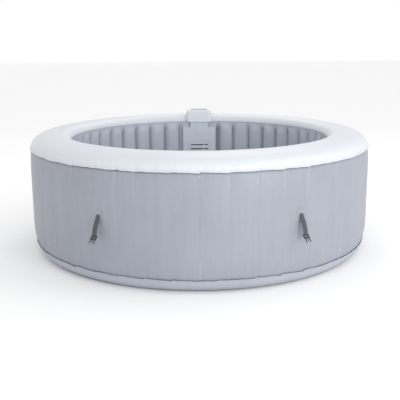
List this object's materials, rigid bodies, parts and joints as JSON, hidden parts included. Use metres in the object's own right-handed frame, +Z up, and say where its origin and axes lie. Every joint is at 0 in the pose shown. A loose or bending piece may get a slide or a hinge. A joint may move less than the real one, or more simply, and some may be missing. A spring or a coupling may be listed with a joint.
{
  "type": "inflatable hot tub",
  "caption": "Round inflatable spa pool with a rolled rim, hanging lid-strap buckles and a built-in filter, heater and air blower unit with a control pod on the rim.",
  "frame": {"origin": "centre of the base, on the ground", "axes": "+Z up, +Y towards the equipment unit and its control pod, -Y towards the front, +X to the right seen from the front"},
  "size_m": [2.04, 2.0398, 0.7378],
  "materials": {
    "wall_sheet": "satin laminated PVC sheet",
    "inner_sheet": "satin laminated PVC sheet",
    "rim_sheet": "pale satin laminated PVC sheet",
    "base_sheet": "satin laminated PVC sheet",
    "beam_sheet": "plain PVC film",
    "foam": "closed-cell foam",
    "pale_plastic": "light satin moulded plastic",
    "panel_plastic": "grey moulded plastic",
    "rear_plastic": "grey moulded plastic",
    "inner_plastic": "plain moulded plastic",
    "rotor_plastic": "plain moulded plastic",
    "webbing": "woven webbing",
    "buckle_plastic": "moulded acetal",
    "motor_metal": "painted steel",
    "steel": "stainless steel",
    "hose_rubber": "plain rubber",
    "filter_fabric": "pleated polyester",
    "circuit": "printed circuit board",
    "overlay": "smoked gloss film",
    "key_plastic": "dark moulded plastic"
  },
  "bodies": {
    "tub": {"outer_wall": "wall_sheet", "strap_patches": "wall_sheet", "inner_wall": "inner_sheet", "unit_pocket": "inner_sheet", "floor_liner": "inner_sheet", "bubble_ring": "inner_sheet", "top_rim": "rim_sheet", "base_skin": "base_sheet", "base_band": "base_sheet", "baffles": "beam_sheet", "floor_pad": "foam", "pod_base": "pale_plastic", "pod_top": "pale_plastic", "front_panel": "panel_plastic", "outlet_nozzle": "panel_plastic", "drain_fitting": "panel_plastic", "air_valve_body": "panel_plastic", "rear_cover": "rear_plastic", "unit_housing": "inner_plastic", "filter_well": "inner_plastic", "pump_housing": "inner_plastic", "blower_housing": "inner_plastic", "cable_gland": "buckle_plastic", "pump_motor": "motor_metal", "blower_motor": "motor_metal", "heater_tube": "steel", "heater_element": "steel", "rear_screws": "steel", "water_hoses": "hose_rubber", "air_hose": "hose_rubber", "main_board": "circuit", "display_board": "circuit", "display_overlay": "overlay"},
    "filter": {"filter_cover": "panel_plastic", "filter_cartridge": "filter_fabric", "filter_end_caps": "inner_plastic"},
    "pump_rotor": {"pump_rotor": "rotor_plastic"},
    "blower_rotor": {"blower_rotor": "rotor_plastic"},
    "valve_poppet": {"air_valve_poppet": "panel_plastic"},
    "valve_cap": {"air_valve_cap": "panel_plastic"},
    "drain_stopper": {"drain_stopper": "panel_plastic"},
    "drain_cap": {"drain_cap": "panel_plastic"},
    "strap_1": {"strap_webbing_1": "webbing", "strap_buckle_1": "buckle_plastic"},
    "strap_2": {"strap_webbing_2": "webbing", "strap_buckle_2": "buckle_plastic"},
    "strap_3": {"strap_webbing_3": "webbing", "strap_buckle_3": "buckle_plastic"},
    "strap_4": {"strap_webbing_4": "webbing", "strap_buckle_4": "buckle_plastic"},
    "button_1": {"button_1": "key_plastic"},
    "button_2": {"button_2": "key_plastic"},
    "button_3": {"button_3": "key_plastic"},
    "button_4": {"button_4": "key_plastic"},
    "button_5": {"button_5": "key_plastic"}
  },
  "joints": [
    {"name": "strap_1_swing", "type": "hinge", "parent": "tub", "child": "strap_1", "pos_m": [0.5115, -0.88594, 0.385], "axis": [-0.866, -0.5, 0], "range_deg": [-10, 140]},
    {"name": "strap_2_swing", "type": "hinge", "parent": "tub", "child": "strap_2", "pos_m": [0.5115, 0.88594, 0.385], "axis": [0.866, -0.5, 0], "range_deg": [-10, 140]},
    {"name": "strap_3_swing", "type": "hinge", "parent": "tub", "child": "strap_3", "pos_m": [-0.5115, 0.88594, 0.385], "axis": [0.866, 0.5, 0], "range_deg": [-10, 140]},
    {"name": "strap_4_swing", "type": "hinge", "parent": "tub", "child": "strap_4", "pos_m": [-0.5115, -0.88594, 0.385], "axis": [-0.866, 0.5, 0], "range_deg": [-10, 140]},
    {"name": "filter_pull", "type": "slide", "parent": "tub", "child": "filter", "axis": [0, -1, 0], "range_m": [0, 0.13]},
    {"name": "pump_spin", "type": "hinge", "parent": "tub", "child": "pump_rotor", "pos_m": [0, 0.85, 0.2], "axis": [0, 0, 1], "continuous": true},
    {"name": "blower_spin", "type": "hinge", "parent": "tub", "child": "blower_rotor", "pos_m": [0.045, 0.84, 0.538], "axis": [0, 1, 0], "continuous": true},
    {"name": "valve_poppet_press", "type": "slide", "parent": "tub", "child": "valve_poppet", "axis": [-0.3799, -0.925, 0], "range_m": [0, 0.006], "stiffness_N_per_m": 300, "springref_m": -0.002},
    {"name": "valve_cap_slide", "type": "slide", "parent": "tub", "child": "valve_cap", "axis": [0.3799, 0.925, 0], "range_m": [0, 0.04]},
    {"name": "drain_stopper_slide", "type": "slide", "parent": "tub", "child": "drain_stopper", "axis": [0.3799, -0.925, 0], "range_m": [0, 0.04]},
    {"name": "drain_cap_slide", "type": "slide", "parent": "tub", "child": "drain_cap", "axis": [-0.3799, 0.925, 0], "range_m": [0, 0.1]},
    {"name": "button_1_press", "type": "slide", "parent": "tub", "child": "button_1", "axis": [0, 0, -1], "range_m": [0, 0.001], "stiffness_N_per_m": 400},
    {"name": "button_2_press", "type": "slide", "parent": "tub", "child": "button_2", "axis": [0, 0, -1], "range_m": [0, 0.001], "stiffness_N_per_m": 400},
    {"name": "button_3_press", "type": "slide", "parent": "tub", "child": "button_3", "axis": [0, 0, -1], "range_m": [0, 0.001], "stiffness_N_per_m": 400},
    {"name": "button_4_press", "type": "slide", "parent": "tub", "child": "button_4", "axis": [0, 0, -1], "range_m": [0, 0.001], "stiffness_N_per_m": 400},
    {"name": "button_5_press", "type": "slide", "parent": "tub", "child": "button_5", "axis": [0, 0, -1], "range_m": [0, 0.001], "stiffness_N_per_m": 400}
  ]
}
